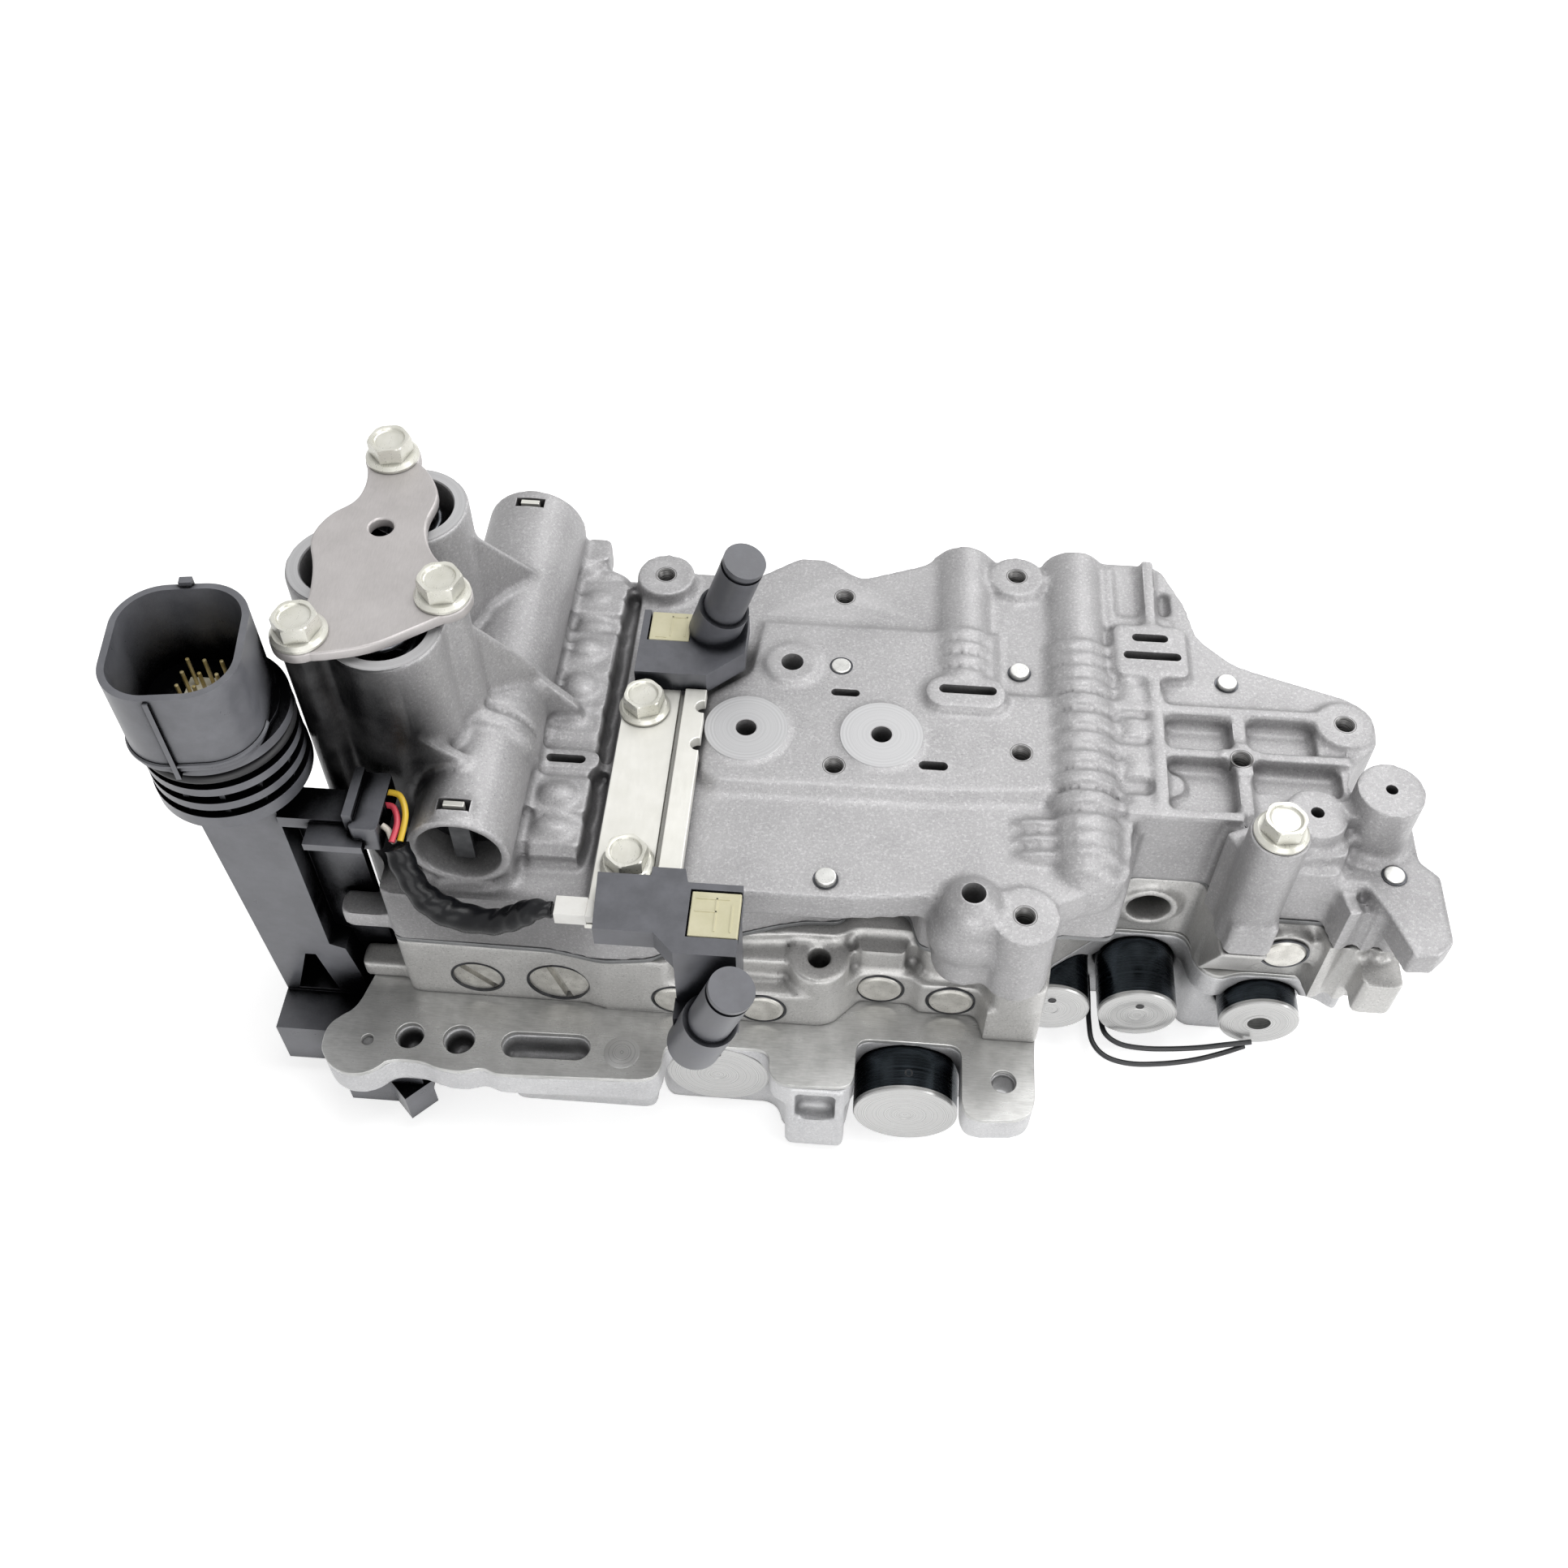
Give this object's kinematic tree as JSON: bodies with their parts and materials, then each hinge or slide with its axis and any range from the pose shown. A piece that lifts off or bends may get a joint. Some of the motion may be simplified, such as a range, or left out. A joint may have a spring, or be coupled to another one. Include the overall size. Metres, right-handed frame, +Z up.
{
  "type": "transmission valve body",
  "caption": "Hydraulic valve body of an automatic transmission: stacked aluminium castings with accumulators, spool valves, solenoids, speed sensors and a round wiring connector.",
  "frame": {"origin": "middle of the outline, on the plane that the lower casting rests on", "axes": "+X along the length, away from the accumulators and the wiring tower; +Y to the back, away from the sensor plug; +Z up"},
  "size_m": [0.3313, 0.1715, 0.1714],
  "materials": {
    "cast_aluminium": "cast, fine grain",
    "bright_cast_aluminium": "cast, bright",
    "steel_plate": "rolled, satin",
    "zinc_plated_steel": "zinc plated",
    "turned_steel": "turned",
    "ground_aluminium": "ground",
    "spring_steel": "oiled",
    "black_plastic": "moulded",
    "dark_grey_plastic": "moulded",
    "cream_resin": "potted",
    "white_plastic": "moulded",
    "black_sleeve": "taped",
    "yellow_wire": "extruded",
    "red_wire": "extruded",
    "white_wire": "extruded",
    "seal_rubber": "moulded",
    "brass_pins": "drawn"
  },
  "bodies": {
    "housing": {"upper_body": "cast_aluminium", "middle_body": "cast_aluminium", "lower_body": "bright_cast_aluminium", "upper_plate": "steel_plate", "lower_plate": "steel_plate", "accumulator_cover": "steel_plate", "stack_bolts": "zinc_plated_steel", "cover_bolts": "zinc_plated_steel", "bracket_bolts": "zinc_plated_steel", "case_bolt": "zinc_plated_steel", "sensor_bracket": "zinc_plated_steel", "retainer_clips": "zinc_plated_steel", "dowel_pins": "turned_steel", "front_plugs": "turned_steel", "end_plug": "turned_steel", "slotted_plug_1": "turned_steel", "slotted_plug_2": "turned_steel", "hump_plugs": "turned_steel", "tube_plugs": "turned_steel", "solenoid_1": "turned_steel", "solenoid_2": "turned_steel", "solenoid_3": "turned_steel", "solenoid_4": "turned_steel", "solenoid_5": "turned_steel", "accumulator_spring_1": "spring_steel", "accumulator_spring_2": "spring_steel", "accumulator_spring_3": "spring_steel", "front_spring": "spring_steel", "rear_spring": "spring_steel", "hump_spring_1": "spring_steel", "hump_spring_2": "spring_steel", "regulator_spring": "spring_steel", "connector_shell": "black_plastic", "wiring_duct": "black_plastic", "branch_housing": "black_plastic", "sensor_1": "dark_grey_plastic", "sensor_2": "dark_grey_plastic", "sensor_1_window": "cream_resin", "sensor_2_window": "cream_resin", "connector_insert": "cream_resin", "sensor_plug": "white_plastic", "sensor_lead": "black_sleeve", "solenoid_leads": "black_sleeve", "lead_wire_yellow": "yellow_wire", "lead_wire_red": "red_wire", "lead_wire_white": "white_wire", "connector_seal": "seal_rubber", "connector_pins": "brass_pins"},
    "accumulator_piston_1": {"accumulator_piston_1": "ground_aluminium"},
    "accumulator_piston_2": {"accumulator_piston_2": "ground_aluminium"},
    "accumulator_piston_3": {"accumulator_piston_3": "ground_aluminium"},
    "front_spool": {"front_spool": "ground_aluminium"},
    "rear_spool": {"rear_spool": "ground_aluminium"},
    "hump_spool_1": {"hump_spool_1": "ground_aluminium"},
    "hump_spool_2": {"hump_spool_2": "ground_aluminium"},
    "regulator_spool": {"regulator_spool": "ground_aluminium"}
  },
  "joints": [
    {"name": "accumulator_slide_1", "type": "slide", "parent": "housing", "child": "accumulator_piston_1", "axis": [0, 0, 1], "range_m": [0, 0.012], "stiffness_N_per_m": 1500, "springref_m": -0.01, "deforming": ["accumulator_spring_1"]},
    {"name": "accumulator_slide_2", "type": "slide", "parent": "housing", "child": "accumulator_piston_2", "axis": [0, 0, 1], "range_m": [0, 0.012], "stiffness_N_per_m": 1500, "springref_m": -0.01, "deforming": ["accumulator_spring_2"]},
    {"name": "accumulator_slide_3", "type": "slide", "parent": "housing", "child": "accumulator_piston_3", "axis": [0, 0, 1], "range_m": [0, 0.012], "stiffness_N_per_m": 1500, "springref_m": -0.01, "deforming": ["accumulator_spring_3"]},
    {"name": "front_spool_slide", "type": "slide", "parent": "housing", "child": "front_spool", "axis": [0, -1, 0], "range_m": [0, 0.006], "stiffness_N_per_m": 800, "springref_m": -0.005, "deforming": ["front_spring"]},
    {"name": "rear_spool_slide", "type": "slide", "parent": "housing", "child": "rear_spool", "axis": [0, 1, 0], "range_m": [0, 0.006], "stiffness_N_per_m": 800, "springref_m": -0.005, "deforming": ["rear_spring"]},
    {"name": "hump_spool_1_slide", "type": "slide", "parent": "housing", "child": "hump_spool_1", "axis": [0, 1, 0], "range_m": [0, 0.006], "stiffness_N_per_m": 800, "springref_m": -0.005, "deforming": ["hump_spring_1"]},
    {"name": "hump_spool_2_slide", "type": "slide", "parent": "housing", "child": "hump_spool_2", "axis": [0, 1, 0], "range_m": [0, 0.006], "stiffness_N_per_m": 800, "springref_m": -0.005, "deforming": ["hump_spring_2"]},
    {"name": "regulator_spool_slide", "type": "slide", "parent": "housing", "child": "regulator_spool", "axis": [0, -1, 0], "range_m": [0, 0.006], "stiffness_N_per_m": 800, "springref_m": -0.005, "deforming": ["regulator_spring"]}
  ]
}
